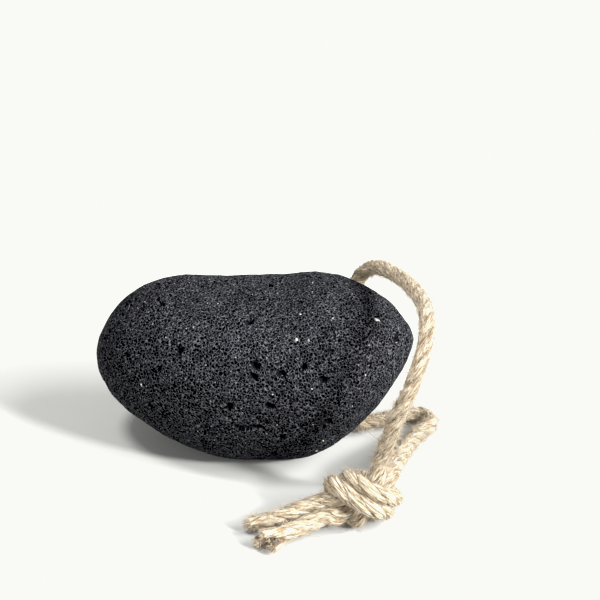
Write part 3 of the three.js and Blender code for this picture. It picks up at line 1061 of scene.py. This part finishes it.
# From dark to clouded pale grains by their own tone
def makeGrainMaterial():
    material, tree = newMaterial("mineralGrain")
    cloud = addNoise(tree, addMapping(tree, addObjectPlace(tree), (1000.0,) * 3), 1.8, 3.0)
    pale = addMix(tree, addRange(tree, cloud, 0.35, 0.65), (0.16, 0.165, 0.14), (0.40, 0.41, 0.35))
    colour = addMix(tree, addAttribute(tree, "tone"), (0.10, 0.10, 0.11), pale)
    addShader(tree, "ShaderNodeBsdfPrincipled", {
        "Base Color": colour, "Normal": addBump(tree, 0.5, 0.12, cloud), "Roughness": 0.55})
    return material


grains = makeGrains(grainSettings, stonePlain, stoneNormals, stoneDepth, makeGrainMaterial())
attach(grains, "root")
print("grains made,", len(grains.data.polygons), "faces")


lightSettings = {
    "floorWhite": 0.95,              # what a share of 1 gives on the open floor
    "floorAlbedo": 0.41,
    "floorHalf": 12000.0,
    "lamps": {                       # toward the lamp, its share, how wide it looks in degrees
        "key": ((1.42, -0.5, 1.0), 0.56, 38.0),
        "front": ((1.4, -1.1, 0.95), 0.35, 7.0),
        "top": ((-0.26, -0.2, 1.0), 0.36, 13.0),
        "fill": ((-0.6, -1.0, 0.35), 0.06, 40.0),
    },
    "sky": 0.22,
    "paper": (0.947, 0.956, 0.913),  # the brightest the picture gets
    "black": 0.0105,                 # and what it shows as black
}


# One wide square at height 0 of a pale and very slightly uneven colour
def makeFloor(settings):
    material, tree = newMaterial("paleFloor")
    albedo, half = settings["floorAlbedo"], settings["floorHalf"]
    tint = addMix(tree, addNoise(tree, addObjectPlace(tree), 0.7, 1.0),
                  (albedo * 0.996, albedo, albedo * 0.962), (albedo, albedo * 1.003, albedo * 0.966))
    addShader(tree, "ShaderNodeBsdfDiffuse", {"Color": tint})
    corners = np.array([[-half, -half, 0.0], [half, -half, 0.0], [half, half, 0.0], [-half, half, 0.0]])
    makePiece("floor", corners, [np.array([[0, 1, 2, 3]])], material, smooth=False)


# Suns whose light on the open floor is in the proportion of their shares, and an even sky. The
# camera sees the paper's colour past the floor's edge
def makeLights(settings):
    white = settings["floorWhite"] / settings["floorAlbedo"]
    for name, (toward, share, degrees) in settings["lamps"].items():
        toward = unit(np.array(toward))
        data = bpy.data.lights.new(name, "SUN")
        data.energy = white * share * np.pi / toward[2]
        data.angle = np.radians(degrees)
        lamp = bpy.data.objects.new(name, data)
        lamp.rotation_euler = Vector(toward).to_track_quat("Z", "Y").to_euler()
        lamp.location = Vector(toward) * 2.0
        scene.collection.objects.link(lamp)
    world = bpy.data.worlds.new("studio")
    scene.world = world
    world.use_nodes = True
    tree = world.node_tree
    tree.nodes.clear()
    seen, lit = (addNode(tree, "ShaderNodeBackground", {"Color": (*colour, 1.0), "Strength": 1.0}).outputs[0]
                 for colour in (settings["paper"], (white * settings["sky"],) * 3))
    fromCamera = addNode(tree, "ShaderNodeLightPath").outputs["Is Camera Ray"]
    mixed = addNode(tree, "ShaderNodeMixShader", {0: fromCamera, 1: lit, 2: seen})
    output = addNode(tree, "ShaderNodeOutputWorld")
    tree.links.new(mixed.outputs[0], output.inputs["Surface"])


# The open floor is brighter than white: each colour is followed up to the paper's and held
# there. The very darkest tones are held at black
def limitTones(settings):
    view = scene.view_settings
    view.use_curve_mapping = True
    for curve, top in zip(view.curve_mapping.curves, settings["paper"]):
        curve.points[0].location = (0.0, 0.0)
        curve.points[1].location = (1.0, top)
        curve.points.new(settings["black"], 0.0)
        curve.points.new(top, top)
        for point in curve.points:
            point.handle_type = "VECTOR"
    view.curve_mapping.update()


makeFloor(lightSettings)
makeLights(lightSettings)
scene.view_settings.view_transform = "Standard"
limitTones(lightSettings)
print("floor and light made")
